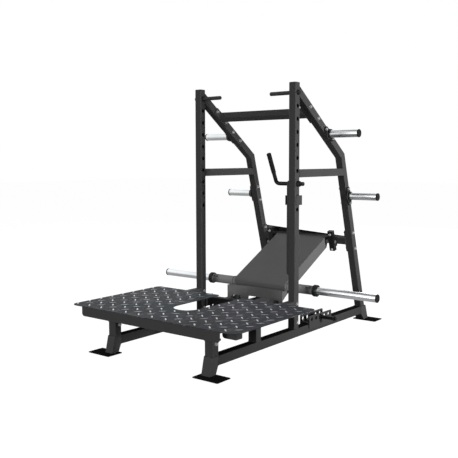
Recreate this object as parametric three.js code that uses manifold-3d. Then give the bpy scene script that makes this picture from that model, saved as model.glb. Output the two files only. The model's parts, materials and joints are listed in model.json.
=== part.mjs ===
// Belt squat machine: a welded frame with a tread plate platform, a plate-loaded lever
// that pivots at the rear, and a hand-operated catch that holds the lever up.
// Millimetres, +Z up, +X to the right of someone on the platform who faces the uprights,
// and +Y from the platform's front edge towards the lever's pivot.
import * as THREE from 'three';
import { mergeVertices } from 'three/addons/utils/BufferGeometryUtils.js';
import Module from 'manifold-3d';

const wasm = await Module();
wasm.setup();

// Clearances and facets
const seatGap = 0.3;
const cutOverrun = 20;
const cornerSteps = 3;
const roundSides = 24;
const holeSides = 14;

// Square and round tube stock
const postTube = { width: 50, depth: 50, wall: 3, corner: 5 };
const baseTube = { width: 60, depth: 50, wall: 3, corner: 5 };
const railTube = { width: 60, depth: 55, wall: 3, corner: 5 };
const frameHalfWidth = 380;

// Base: rails, feet and posts
const footPlate = { thickness: 6, length: 114, inner: 329, outer: 505, corner: 4 };
const railBottom = 51.5;
const frontFootY = -839;
const frontFootReach = { topFront: 18, toe: -6, heel: 49, joint: 69 };
const rearFootY = 969;
const rearFootReach = { topRear: -17, toe: 19, heel: -44, joint: -85 };
const stubWall = 4;
const frontPostY = -790;
const midPostY = -391;
const postFlange = { width: 64, length: 72, rearShift: 9, top: 197, thickness: 9, corner: 5 };

// Deck: front angle with corner blocks, deck rails and tread plate
const deckTop = 286;
const plateThickness = 4;
const plateHalfWidth = 640;
const plateFrontY = -916;
const plateRearY = -128;
const plateFrontCorner = 50;
const plateRearCorner = 30;
const notchHalfWidth = 90;
const notchCentreY = -545;
const notchMouthCorner = 14;
const frontAngle = { halfLength: 535, overhang: 1, height: 56, depth: 75, thickness: 6, corner: 12 };
const cornerBlock = { inset: 34, width: 96, bottom: 236, round: 18, bevel: 4, depth: 50, overlap: 10 };

// Uprights and their holes
const uprightTop = 1644;
const uprightFrontY = 0;
const pegHoleDiameter = 26;
const topHoleDrop = 146;
const holePitch = 80;
const holeCount = 9;
const handleHoleIndex = 6;

// Rear legs: a sloped brace from the top of each upright, bent into a steep rear post
const legOutside = { topDrop: 27, bendY: 620, bendZ: 1208, footShift: -30 };
const legDepth = { top: 63, bendY: 40, bendZ: 30, foot: 53 };
const tieTop = 1107;

// Cross tubes between the rear legs, with bolted end plates
const endPlate = { length: 158, width: 50, thickness: 8, corner: 10 };
const topCrossRun = 227;
const pivotCrossRun = 631;

// Weight storage horns
const hornDiameter = 50;
const hornWall = 4;
const hornPlate = { length: 136, width: 46, thickness: 8 };
const hornHub = { diameter: 64, reach: 13 };
const storageHornEnd = 624;
const upperHornRun = 449;
const lowerHornRun = 298;
const cap = { diameter: 51.5, thickness: 8, spigot: 16, rim: 2.5 };

// Pegs at the top of the uprights
const topPeg = { diameter: 25, inner: 199, drop: 64.4, rim: 3 };

// Base cross tube between the uprights, with end plates and bumper shelves
const baseCross = { y: 82, top: 218 };
const baseEnd = { front: 46, rear: 31, rise: 12, drop: 66, thickness: 8 };
const bumper = { diameter: 46, height: 30, stand: 12, x: 165, back: 74, rim: 6 };
const shelf = { halfWidth: 30, margin: 3, thickness: 6 };

// Band bracket on each base rail behind the upright
const bracket = { thickness: 6, frontY: 160, rearY: 440, top: 160, bottom: 75, corner: 8, web: 6 };
const bracketHole = { diameter: 25, pitch: 53, middleY: 298, z: 136, count: 5 };
const bandPeg = { diameter: 24.4, outer: 535, rim: 3 };

// Lever: pivot shaft, folded panel, cross tube, horns and front skirt
const pivotRun = 629.5;
const pivotLift = 48;
const pivotShaft = { diameter: 25, halfLength: 282 };
const pivotSleeve = { diameter: 38 };
const leverLength = 573.8;
const leverSlope = THREE.MathUtils.degToRad(27.06);
const panelHalfWidth = 209;
const panelThickness = 5;
const panelRearBack = 12;
const panelHeel = { radius: 20, lowAngle: -50, highAngle: 80 };
const panelWrapEnd = THREE.MathUtils.degToRad(163);
const flangeToe = { front: 29, drop: 60, heelFront: 17, heelDrop: 54 };
const flangeKnee = { back: 149, rise: 26 };
const flangeRear = { back: 1, drop: 47 };
const flangeRoom = 38;
const leverTube = { diameter: 60, halfLength: 417 };
const leverCollar = { diameter: 76, reach: 26, rim: 4 };
const leverHornRoot = 60;
const leverHornEnd = 860;
const skirt = { thickness: 6, halfWidth: 228, front: 87.5, foldFront: 36, foldX: 92, topDrop: 19, drop: 114 };
const skirtArch = { halfWidth: 88, crownDrop: 87, corner: 12 };
const skirtNotch = { halfWidth: 26, corner: 8 };
const skirtPad = { halfWidth: 26, front: 24 };
const gusset = { frontDrop: 84, rearFront: 26, rearDrop: 41, topDrop: 17 };
const beltLug = { thickness: 12, width: 46, drop: 36, corner: 11.5, hole: 18 };

// Bearing blocks clamped on the pivot cross tube
const bearing = { inner: 240, outer: 280, frontCover: 24, length: 148, rise: -13, thickness: 30, housing: 74 };

// Catch: hanging arm with a hook, its axle, handle, grip and guide strap
const catchArm = { gap: 3, thickness: 12, frontY: 5, rearY: 45, rise: 19, bottom: 445, corner: 12 };
const catchHook = { rise: 26, reach: 103, lip: 7, lipTop: 479 };
const catchBar = { diameter: 25, innerReach: 105, bendRadius: 24, outerReach: 47, bite: 2 };
const catchTip = { y: -63, rise: 185 };
const catchWasher = { diameter: 36, thickness: 8 };
const catchGrip = { diameter: 27, length: 132, cover: 4 };
const guideStrap = { thickness: 4, gap: 10, rearY: 74, frontY: 8, bottom: 885, top: 945 };

// Derived places
const railTop = railBottom + railTube.depth;
const deckTubeTop = deckTop - plateThickness - seatGap;
const uprightInner = frameHalfWidth - postTube.width / 2;
const uprightOuter = frameHalfWidth + postTube.width / 2;
const uprightMiddleY = uprightFrontY + postTube.depth / 2;
const uprightRearY = uprightFrontY + postTube.depth;
const crossInner = uprightInner - endPlate.thickness - seatGap;
const frontFoot = placesFrom(frontFootY, frontFootReach);
const rearFoot = placesFrom(rearFootY, rearFootReach);
const rearFootEdgeY = rearFootY + footPlate.length / 2;
const originY = (plateFrontY + rearFootEdgeY) / 2;
const angleRearY = plateFrontY + frontAngle.overhang + frontAngle.depth;
const topHoleZ = uprightTop - topHoleDrop;
const handleZ = topHoleZ - handleHoleIndex * holePitch;
const catchInner = uprightInner - catchArm.gap - catchArm.thickness;
const topPegZ = uprightTop - topPeg.drop;
const legTopZ = uprightTop - legOutside.topDrop;
const legFootY = rearFootY + legOutside.footShift;
const legMiddle = postTube.depth / 2;
const braceWay = way(uprightRearY, legTopZ, legOutside.bendY, legOutside.bendZ);
const rearPostWay = way(legOutside.bendY, legOutside.bendZ, legFootY, railTop);
const topCross = onBrace(topCrossRun, legMiddle);
const upperHorn = onBrace(upperHornRun, legMiddle);
const pivotCross = onRearPost(pivotCrossRun, legMiddle);
const lowerHorn = onRearPost(lowerHornRun, legMiddle);
const pivot = onRearPost(pivotRun, legMiddle + pivotLift);
const tubeY = pivot.y - leverLength * Math.cos(leverSlope);
const tubeZ = pivot.z - leverLength * Math.sin(leverSlope);
const panelRise = leverTube.diameter / 2 + seatGap + panelThickness;
const bumperBottom = baseCross.top - bumper.stand;
const bumperTop = bumperBottom + bumper.height;
const bumperY = baseCross.y + bumper.back;
const sides = [['left', -1], ['right', 1]];

// Finishes
const paint = { color: 0x3a3b3d, roughness: 0.55, metalness: 0.3 };
const leverPaint = { color: 0x55575a, roughness: 0.5, metalness: 0.3 };
const treadSteel = { color: 0x3a3f44, roughness: 0.45, metalness: 0.6 };
const chrome = { color: 0xc8cacc, roughness: 0.12, metalness: 1 };
const blackParts = { color: 0x151516, roughness: 0.6, metalness: 0 };
const rubber = { color: 0x1a1a1b, roughness: 0.85, metalness: 0 };

const machine = new THREE.Group();
const body = new THREE.Group();
body.position.y = -originY;
machine.add(body);

// Solids from three.js geometry, joined and cut
function solid(geometry) {
  const bare = geometry.clone();
  bare.deleteAttribute('normal');
  bare.deleteAttribute('uv');
  const merged = mergeVertices(bare);
  const corners = [];
  for (let index = 0; index < merged.index.count; index += 3) {
    const triangle = [0, 1, 2].map((corner) => merged.index.getX(index + corner));
    if (new Set(triangle).size === 3) {
      corners.push(...triangle);
    }
  }
  return new wasm.Manifold(new wasm.Mesh({
    numProp: 3,
    vertProperties: new Float32Array(merged.attributes.position.array),
    triVerts: new Uint32Array(corners),
  }));
}

function geometryOf(shape) {
  const mesh = shape.getMesh();
  const geometry = new THREE.BufferGeometry();
  geometry.setAttribute('position', new THREE.BufferAttribute(new Float32Array(mesh.vertProperties), 3));
  geometry.setIndex(new THREE.BufferAttribute(new Uint32Array(mesh.triVerts), 1));
  geometry.computeVertexNormals();
  return geometry;
}

function part(name, shape, finish, parent = body) {
  const geometry = shape.isBufferGeometry ? shape : geometryOf(shape);
  const mesh = new THREE.Mesh(geometry, new THREE.MeshStandardMaterial(finish));
  mesh.name = name;
  parent.add(mesh);
  return mesh;
}

function mirrored(shape, side) {
  return side > 0 ? shape : shape.mirror([1, 0, 0]);
}

// Outlines
function roundedRectangle(width, height, radius, steps = cornerSteps) {
  const points = [];
  const corners = [[1, 1, 0], [-1, 1, 1], [-1, -1, 2], [1, -1, 3]];
  for (const [signX, signY, quarter] of corners) {
    for (let step = 0; step <= steps; step += 1) {
      const angle = (quarter + step / steps) * Math.PI / 2;
      points.push(new THREE.Vector2(
        signX * (width / 2 - radius) + radius * Math.cos(angle),
        signY * (height / 2 - radius) + radius * Math.sin(angle),
      ));
    }
  }
  return points;
}

function rectangle(width, height) {
  const [x, y] = [width / 2, height / 2];
  return [[x, y], [-x, y], [-x, -y], [x, -y]].map(([a, b]) => new THREE.Vector2(a, b));
}

function circle(radius, count = roundSides, centre = [0, 0]) {
  return Array.from({ length: count }, (_, index) => {
    const angle = (index + 1 / 2) * 2 * Math.PI / count;
    return new THREE.Vector2(centre[0] + radius * Math.cos(angle), centre[1] + radius * Math.sin(angle));
  });
}

// A rounded-end slot outline whose long side lies along the first axis
function slot(length, width) {
  return roundedRectangle(length, width, width / 2, cornerSteps * 2);
}

function prism(points, length, holes = []) {
  const apart = points.filter((point, index) => (
    point.distanceTo(points[(index + 1) % points.length]) > seatGap / cutOverrun
  ));
  const shape = new THREE.Shape(apart);
  for (const hole of holes) {
    shape.holes.push(new THREE.Path(hole));
  }
  return new THREE.ExtrudeGeometry(shape, { depth: length, bevelEnabled: false });
}

// A prism whose outline is drawn in the Y-Z plane, spanning x from low to high
function sidePrism(points, low, high, holes = []) {
  const turn = new THREE.Matrix4().makeBasis(
    new THREE.Vector3(0, 1, 0),
    new THREE.Vector3(0, 0, 1),
    new THREE.Vector3(1, 0, 0),
  );
  const outline = points.map((point) => (point.isVector2 ? point : new THREE.Vector2(...point)));
  return prism(outline, high - low, holes).applyMatrix4(turn).translate(low, 0, 0);
}

function blockBetween(low, high) {
  const size = high.map((value, axis) => value - low[axis]);
  return new THREE.BoxGeometry(...size)
    .translate(low[0] + size[0] / 2, low[1] + size[1] / 2, low[2] + size[2] / 2);
}

// A round bar or a hole along X at a place in the Y-Z plane
function barX(diameter, low, high, y, z, count = roundSides) {
  return sidePrism(circle(diameter / 2, count), low, high).translate(0, y, z);
}

function hollowSection(stock) {
  const inner = rectangle(stock.width - 2 * stock.wall, stock.depth - 2 * stock.wall);
  return [roundedRectangle(stock.width, stock.depth, stock.corner), [inner]];
}

// A square tube along X, Y or Z, centred on the given section centre
function tubeAlong(axis, stock, low, high, centre) {
  const [outline, holes] = hollowSection(stock);
  const geometry = prism(outline, high - low, holes);
  if (axis === 'z') {
    return geometry.translate(centre[0], centre[1], low);
  }
  const turn = new THREE.Matrix4();
  if (axis === 'y') {
    turn.makeBasis(new THREE.Vector3(1, 0, 0), new THREE.Vector3(0, 0, -1), new THREE.Vector3(0, 1, 0));
    return geometry.applyMatrix4(turn).translate(centre[0], low, centre[1]);
  }
  turn.makeBasis(new THREE.Vector3(0, 1, 0), new THREE.Vector3(0, 0, 1), new THREE.Vector3(1, 0, 0));
  return geometry.applyMatrix4(turn).translate(low, centre[0], centre[1]);
}

// A turned piece along X; the profile lists radius and place along X, from the axis round to the axis
function turnedX(profile, y, z, count = roundSides) {
  const turn = new THREE.Matrix4().makeBasis(
    new THREE.Vector3(0, 1, 0),
    new THREE.Vector3(1, 0, 0),
    new THREE.Vector3(0, 0, -1),
  );
  return new THREE.LatheGeometry(profile.map((point) => new THREE.Vector2(...point)), count)
    .applyMatrix4(turn)
    .translate(0, y, z);
}

// A round tube along X
function pipeX(outer, inner, low, high, y, z) {
  return sidePrism(circle(outer / 2), low, high, [circle(inner / 2)]).translate(0, y, z);
}

// The unit way from one place in the Y-Z plane to another
function way(fromY, fromZ, toY, toZ) {
  return new THREE.Vector2(toY - fromY, toZ - fromZ).normalize();
}

// Named reaches turned into places, from a middle that they are all measured from
function placesFrom(middle, reaches) {
  return Object.fromEntries(Object.entries(reaches).map(([name, reach]) => [name, middle + reach]));
}

// A place reached by a run along a direction and then a lift towards the machine's inside
function placeBy(startY, startZ, direction, run, lift) {
  return {
    y: startY + direction.x * run + direction.y * lift,
    z: startZ + direction.y * run - direction.x * lift,
  };
}

function onBrace(run, lift) {
  return placeBy(uprightRearY, legTopZ, braceWay, run, lift);
}

function onRearPost(run, lift) {
  return placeBy(legOutside.bendY, legOutside.bendZ, rearPostWay, run, lift);
}

// Lay a piece whose long side is along Y so that it follows the given way
function laid(geometry, direction, y, z) {
  return geometry.rotateX(Math.atan2(direction.y, direction.x)).translate(0, y, z);
}

// An anticlockwise outline with each side moved inwards by its own amount
function inset(points, amounts) {
  const count = points.length;
  const lines = points.map(([y, z], index) => {
    const [nextY, nextZ] = points[(index + 1) % count];
    const along = way(y, z, nextY, nextZ);
    return { y: y - along.y * amounts[index], z: z + along.x * amounts[index], along };
  });
  return lines.map((line, index) => {
    const before = lines[(index + count - 1) % count];
    const cross = before.along.x * line.along.y - before.along.y * line.along.x;
    const reach = ((line.y - before.y) * line.along.y - (line.z - before.z) * line.along.x) / cross;
    return [before.y + before.along.x * reach, before.z + before.along.y * reach];
  });
}

// A plate standing across the machine: an outline in the X-Z plane, from the front to the rear
function frontPrism(points, frontY, rearY) {
  const turn = new THREE.Matrix4().makeBasis(
    new THREE.Vector3(1, 0, 0),
    new THREE.Vector3(0, 0, 1),
    new THREE.Vector3(0, -1, 0),
  );
  const outline = points.map((point) => (point.isVector2 ? point : new THREE.Vector2(...point)));
  return prism(outline, rearY - frontY).applyMatrix4(turn).translate(0, rearY, 0);
}

// Base rails with leaning stubs at their ends, and the posts that carry the deck
function buildBase() {
  for (const [word, side] of sides) {
    const x = side * frameHalfWidth;
    const railZ = railBottom + railTube.depth / 2;
    part(`base_rail_${word}`,
      tubeAlong('y', railTube, frontFoot.joint + seatGap, rearFoot.joint - seatGap, [x, railZ]), paint);
    part(`front_foot_${word}`, mirrored(buildFoot(frontFootOutline(), frontFootY), side), paint);
    part(`rear_foot_${word}`, mirrored(buildFoot(rearFootOutline(), rearFootY), side), paint);
    part(`front_post_${word}`, frontPost(x), paint);
    part(`mid_post_${word}`, tubeAlong('z', baseTube, railTop + seatGap, deckRailBottom(), [x, midPostY]),
      paint);
  }
}

function deckRailBottom() {
  return deckTubeTop - postTube.depth - seatGap;
}

// Anticlockwise from the joint's lower corner; the last side lies against the rail
function frontFootOutline() {
  return [
    [frontFoot.joint, railTop],
    [frontFoot.topFront, railTop],
    [frontFoot.toe, footPlate.thickness],
    [frontFoot.heel, footPlate.thickness],
    [frontFoot.joint, railBottom],
  ];
}

function rearFootOutline() {
  return [
    [rearFoot.joint, railBottom],
    [rearFoot.heel, footPlate.thickness],
    [rearFoot.toe, footPlate.thickness],
    [rearFoot.topRear, railTop],
    [rearFoot.joint, railTop],
  ];
}

// A hollow stub that is open towards the rail, on a flat foot plate that reaches outwards
function buildFoot(outline, plateY) {
  const [low, high] = [frameHalfWidth - railTube.width / 2, frameHalfWidth + railTube.width / 2];
  const walls = outline.map(() => stubWall);
  walls[walls.length - 1] = -stubWall;
  const stub = solid(sidePrism(outline, low, high));
  const bore = solid(sidePrism(inset(outline, walls), low + stubWall, high - stubWall));
  const width = footPlate.outer - footPlate.inner;
  const plate = prism(roundedRectangle(width, footPlate.length, footPlate.corner), footPlate.thickness)
    .translate((footPlate.inner + footPlate.outer) / 2, plateY, 0);
  return stub.subtract(bore).add(solid(plate));
}

function frontPost(x) {
  const post = solid(tubeAlong('z', baseTube, railTop + seatGap, deckRailBottom(), [x, frontPostY]));
  const bore = new THREE.BoxGeometry(
    baseTube.width - 2 * baseTube.wall,
    baseTube.depth - 2 * baseTube.wall,
    postFlange.thickness + cutOverrun,
  );
  const flangeZ = postFlange.top - postFlange.thickness / 2;
  const flange = prism(
    roundedRectangle(postFlange.width, postFlange.length, postFlange.corner),
    postFlange.thickness,
  ).translate(x, frontPostY + postFlange.rearShift, postFlange.top - postFlange.thickness);
  return post.add(solid(flange).subtract(solid(bore.translate(x, frontPostY, flangeZ))));
}

// Deck: rails, the angle across the front with its corner blocks, and the tread plate
function buildDeck() {
  const railZ = deckTubeTop - postTube.depth / 2;
  for (const [word, side] of sides) {
    part(`deck_rail_${word}`,
      tubeAlong('y', postTube, angleRearY + seatGap, uprightFrontY - seatGap,
        [side * frameHalfWidth, railZ]), paint);
  }
  const { halfLength, height, thickness, corner, depth } = frontAngle;
  const frontY = angleRearY - depth;
  const apron = [
    [-halfLength, deckTubeTop],
    [-halfLength, deckTubeTop - height + corner],
    [corner - halfLength, deckTubeTop - height],
    [halfLength - corner, deckTubeTop - height],
    [halfLength, deckTubeTop - height + corner],
    [halfLength, deckTubeTop],
  ];
  const ledge = blockBetween([-halfLength, frontY, deckTubeTop - thickness],
    [halfLength, angleRearY, deckTubeTop]);
  let angle = solid(frontPrism(apron, frontY, frontY + thickness)).add(solid(ledge));
  for (const [, side] of sides) {
    angle = angle.add(mirrored(solid(cornerBlockShape()), side));
  }
  part('front_cross_angle', angle, paint);
  const plate = prism(plateOutline(), plateThickness).translate(0, 0, deckTop - plateThickness);
  part('platform_plate', plate, treadSteel);
}

function cornerBlockShape() {
  const { width, bottom, round, bevel, depth, overlap } = cornerBlock;
  const inner = frontAngle.halfLength - cornerBlock.inset;
  const outer = inner + width;
  const roundSteps = Array.from({ length: cornerSteps * 2 + 1 }, (_, index) => {
    const angle = Math.PI + index / (cornerSteps * 2) * Math.PI / 2;
    return [inner + round + round * Math.cos(angle), bottom + round + round * Math.sin(angle)];
  });
  const outline = [
    [inner, deckTubeTop],
    ...roundSteps,
    [outer - bevel, bottom],
    [outer, bottom + bevel],
    [outer, deckTubeTop],
  ];
  const blockFrontY = angleRearY - overlap;
  return frontPrism(outline, blockFrontY, blockFrontY + depth);
}

function plateOutline() {
  const shape = new THREE.Shape();
  const [w, f, r] = [plateHalfWidth, plateFrontY, plateRearY];
  const [a, b, m, n] = [plateFrontCorner, plateRearCorner, notchMouthCorner, notchHalfWidth];
  const quarter = Math.PI / 2;
  shape.moveTo(-w + a, f);
  shape.lineTo(w - a, f);
  shape.absarc(w - a, f + a, a, -quarter, 0);
  shape.lineTo(w, r - b);
  shape.absarc(w - b, r - b, b, 0, quarter);
  shape.lineTo(n + m, r);
  shape.absarc(n + m, r - m, m, quarter, 2 * quarter);
  shape.lineTo(n, notchCentreY);
  shape.absarc(0, notchCentreY, n, 0, 2 * quarter, true);
  shape.lineTo(-n, r - m);
  shape.absarc(-n - m, r - m, m, 0, quarter);
  shape.lineTo(-w + b, r);
  shape.absarc(-w + b, r - b, b, quarter, 2 * quarter);
  shape.lineTo(-w, f + a);
  shape.absarc(-w + a, f + a, a, 2 * quarter, 3 * quarter);
  return shape.getPoints(cornerSteps * 2);
}

// Uprights, rear legs, side ties and the cross tubes between the legs
function buildFrame() {
  for (const [word, side] of sides) {
    const x = side * frameHalfWidth;
    part(`upright_${word}`, upright(x), paint);
    const [low, high] = [x - postTube.width / 2, x + postTube.width / 2];
    part(`rear_leg_${word}`, rearLeg(low, high), paint);
    const tie = tubeAlong('y', postTube, uprightRearY + seatGap, legOutside.bendY,
      [x, tieTop - postTube.depth / 2]);
    const legRoom = sidePrism(inset(legOutline(), legOutline().map(() => -seatGap)),
      low - cutOverrun, high + cutOverrun);
    part(`side_tie_${word}`, solid(tie).subtract(solid(legRoom)), paint);
    part(`grab_peg_${word}`, mirrored(solid(grabPeg()), side), paint);
  }
  part('top_cross_tube', legCross(topCross, braceWay), paint);
  part('pivot_cross_tube', legCross(pivotCross, rearPostWay), paint);
  part('base_cross_tube', baseCrossTube(), paint);
}

function upright(x) {
  const tube = tubeAlong('z', postTube, railTop + seatGap, uprightTop, [x, uprightMiddleY]);
  const reach = postTube.width / 2 + cutOverrun;
  let shape = solid(tube);
  for (let index = 0; index < holeCount; index += 1) {
    const z = topHoleZ - index * holePitch;
    shape = shape.subtract(solid(
      barX(pegHoleDiameter, x - reach, x + reach, uprightMiddleY, z, holeSides),
    ));
  }
  return shape;
}

function legOutline() {
  const [y, z] = [uprightRearY + seatGap, railTop + seatGap];
  return [
    [legFootY - legDepth.foot, z],
    [legFootY, z],
    [legOutside.bendY, legOutside.bendZ],
    [y, legTopZ],
    [y, legTopZ - legDepth.top],
    [legOutside.bendY - legDepth.bendY, legOutside.bendZ - legDepth.bendZ],
  ];
}

function rearLeg(low, high) {
  const { wall } = postTube;
  const bore = inset(legOutline(), [-cutOverrun, wall, wall, -cutOverrun, wall, wall]);
  return solid(sidePrism(legOutline(), low, high))
    .subtract(solid(sidePrism(bore, low + wall, high - wall)));
}

function grabPeg() {
  const radius = topPeg.diameter / 2;
  return turnedX([
    [0, topPeg.inner],
    [radius - topPeg.rim, topPeg.inner],
    [radius, topPeg.inner + topPeg.rim],
    [radius, uprightInner - seatGap],
    [0, uprightInner - seatGap],
  ], uprightMiddleY, topPegZ);
}

// A square cross tube with an end plate welded on each end, turned to lie flat on the legs
function legCross(place, direction) {
  const plateOuter = crossInner + endPlate.thickness;
  const plate = roundedRectangle(endPlate.length, endPlate.width, endPlate.corner);
  const bore = rectangle(postTube.width - 2 * postTube.wall, postTube.depth - 2 * postTube.wall);
  const pieces = [
    tubeAlong('x', postTube, -crossInner - seatGap, crossInner + seatGap, [0, 0]),
    sidePrism(plate, crossInner, plateOuter, [bore]),
    sidePrism(plate, -plateOuter, -crossInner, [bore]),
  ].map((piece) => solid(laid(piece, direction, place.y, place.z)));
  return pieces[0].add(pieces[1]).add(pieces[2]);
}

// The tube between the uprights: end plates, and a shelf for each rubber bumper
function baseCrossTube() {
  const middleZ = baseCross.top - postTube.depth / 2;
  const ledgeRearY = bumperY + bumper.diameter / 2 + shelf.margin;
  const plateOuter = crossInner + baseEnd.thickness;
  const bore = solid(new THREE.BoxGeometry(
    2 * plateOuter + cutOverrun,
    postTube.width - 2 * postTube.wall,
    postTube.depth - 2 * postTube.wall,
  ).translate(0, baseCross.y, middleZ));
  let shape = solid(tubeAlong('x', postTube, -crossInner, crossInner, [baseCross.y, middleZ]));
  for (const [, side] of sides) {
    const plate = blockBetween(
      [crossInner - seatGap, baseCross.y - baseEnd.front, baseCross.top - baseEnd.drop],
      [plateOuter, baseCross.y + baseEnd.rear, baseCross.top + baseEnd.rise],
    );
    const ledge = blockBetween(
      [bumper.x - shelf.halfWidth, baseCross.y + postTube.width / 2 - seatGap,
        bumperBottom - shelf.thickness],
      [bumper.x + shelf.halfWidth, ledgeRearY, bumperBottom],
    );
    shape = shape.add(mirrored(solid(plate).subtract(bore).add(solid(ledge)), side));
  }
  return shape;
}

// Rubber bumpers that the lever comes down on
function buildBumpers() {
  const radius = bumper.diameter / 2;
  for (const [word, side] of sides) {
    const shape = new THREE.LatheGeometry([
      [0, bumperBottom + seatGap],
      [radius, bumperBottom + seatGap],
      [radius, bumperTop - bumper.rim],
      [radius - bumper.rim, bumperTop],
      [0, bumperTop],
    ].map((point) => new THREE.Vector2(...point)), roundSides);
    part(`bumper_${word}`, solid(shape.rotateX(Math.PI / 2).translate(side * bumper.x, bumperY, 0)), rubber);
  }
}

// Storage horns on the legs: a bolted mount with a hub, a chromed tube and an end cap
function buildStorage() {
  const places = [['upper', upperHorn, braceWay], ['lower', lowerHorn, rearPostWay]];
  for (const [word, side] of sides) {
    for (const [level, place, direction] of places) {
      const name = `${level}_${word}`;
      const plateLow = uprightOuter + seatGap;
      const plateHigh = plateLow + hornPlate.thickness;
      const hubEnd = plateHigh + hornHub.reach;
      const plate = laid(sidePrism(slot(hornPlate.length, hornPlate.width), plateLow, plateHigh),
        direction, place.y, place.z);
      const hub = barX(hornHub.diameter, plateHigh - seatGap, hubEnd, place.y, place.z);
      part(`horn_mount_${name}`, mirrored(solid(plate).add(solid(hub)), side), paint);
      const inner = hornDiameter - 2 * hornWall;
      const tube = pipeX(hornDiameter, inner, hubEnd + seatGap, storageHornEnd, place.y, place.z);
      part(`storage_horn_${name}`, mirrored(solid(tube), side), chrome);
      part(`horn_cap_${name}`, mirrored(solid(endCap(storageHornEnd, place.y, place.z)), side),
        blackParts);
    }
  }
}

// A cap with a plug that goes into the end of a horn
function endCap(hornEnd, y, z) {
  const plugRadius = hornDiameter / 2 - hornWall - seatGap;
  const radius = cap.diameter / 2;
  const start = hornEnd + seatGap;
  const end = hornEnd + cap.thickness;
  return turnedX([
    [0, hornEnd - cap.spigot],
    [plugRadius, hornEnd - cap.spigot],
    [plugRadius, start],
    [radius, start],
    [radius, end - cap.rim],
    [radius - cap.rim, end],
    [0, end],
  ], y, z);
}

// Plates on both sides of each base rail, with a web on top of it and a row of holes, and a peg
function buildBandBrackets() {
  const railInner = frameHalfWidth - railTube.width / 2;
  const railOuter = frameHalfWidth + railTube.width / 2;
  const middleY = (bracket.frontY + bracket.rearY) / 2;
  const middleZ = (bracket.top + bracket.bottom) / 2;
  const outline = roundedRectangle(bracket.rearY - bracket.frontY, bracket.top - bracket.bottom,
    bracket.corner);
  const holes = Array.from({ length: bracketHole.count }, (_, index) => {
    const place = (index - (bracketHole.count - 1) / 2) * bracketHole.pitch;
    return circle(bracketHole.diameter / 2, holeSides,
      [bracketHole.middleY + place - middleY, bracketHole.z - middleZ]);
  });
  const innerLow = railInner - seatGap - bracket.thickness;
  const outerHigh = railOuter + seatGap + bracket.thickness;
  const plateAt = (low) => solid(sidePrism(outline, low, low + bracket.thickness, holes)
    .translate(0, middleY, middleZ));
  const web = solid(blockBetween(
    [innerLow + bracket.thickness / 2, bracket.frontY + bracket.corner, railTop + seatGap],
    [outerHigh - bracket.thickness / 2, bracket.rearY - bracket.corner, railTop + seatGap + bracket.web],
  ));
  const shape = plateAt(innerLow).add(plateAt(outerHigh - bracket.thickness)).add(web);
  const radius = bandPeg.diameter / 2;
  const peg = solid(turnedX([
    [0, innerLow],
    [radius, innerLow],
    [radius, bandPeg.outer - bandPeg.rim],
    [radius - bandPeg.rim, bandPeg.outer],
    [0, bandPeg.outer],
  ], bracketHole.middleY, bracketHole.z, holeSides));
  for (const [word, side] of sides) {
    part(`band_bracket_${word}`, mirrored(shape, side), paint);
    part(`band_peg_${word}`, mirrored(peg, side), blackParts);
  }
}

// Lever: the folded panel on its pivot shaft
function buildLeverPanel() {
  const { y, z } = pivot;
  const shell = solid(sidePrism(panelOutline(), -panelHalfWidth, panelHalfWidth));
  const innerHalf = panelHalfWidth - panelThickness;
  const innerDrop = panelThickness * stretch();
  const trimY = y + panelHeel.radius + cutOverrun;
  const [endY, endZ] = aroundTube(panelRise + cutOverrun, panelWrapEnd);
  const inside = [
    [trimY, 0],
    [trimY, topLineZ(trimY) - innerDrop],
    ...wrapArc(panelRise - panelThickness),
    [endY, endZ],
    [endY, 0],
  ];
  let shape = shell.subtract(solid(sidePrism(inside, -innerHalf, innerHalf)));
  const reach = panelHalfWidth + cutOverrun;
  const tubeHole = leverTube.diameter + 2 * seatGap;
  shape = shape.subtract(solid(barX(tubeHole, -reach, reach, tubeY, tubeZ)));
  const shaftHole = pivotShaft.diameter + 2 * seatGap;
  shape = shape.subtract(solid(barX(shaftHole, -reach, reach, y, z)));
  part('lever_panel', shape, leverPaint);

  const radius = pivotShaft.diameter / 2;
  const sleeveRadius = pivotSleeve.diameter / 2;
  const sleeveEnd = innerHalf - seatGap;
  part('pivot_shaft', solid(turnedX([
    [0, -pivotShaft.halfLength],
    [radius, -pivotShaft.halfLength],
    [radius, -sleeveEnd],
    [sleeveRadius, -sleeveEnd],
    [sleeveRadius, sleeveEnd],
    [radius, sleeveEnd],
    [radius, pivotShaft.halfLength],
    [0, pivotShaft.halfLength],
  ], y, z)), leverPaint);
}

// The height of the panel's top face at a place along Y
function topLineZ(y) {
  return pivot.z + panelRise * stretch() + (y - pivot.y) * Math.tan(leverSlope);
}

function stretch() {
  return 1 / Math.cos(leverSlope);
}

// A place at a distance and an angle from the axis of the lever's cross tube
function aroundTube(radius, angle) {
  return [tubeY + radius * Math.cos(angle), tubeZ + radius * Math.sin(angle)];
}

// The arc that the panel follows over the cross tube, from the top round to the front
function wrapArc(radius) {
  const start = Math.PI / 2 + leverSlope;
  return Array.from({ length: cornerSteps + 1 }, (_, index) => (
    aroundTube(radius, start + (panelWrapEnd - start) * index / cornerSteps)
  ));
}

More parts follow.
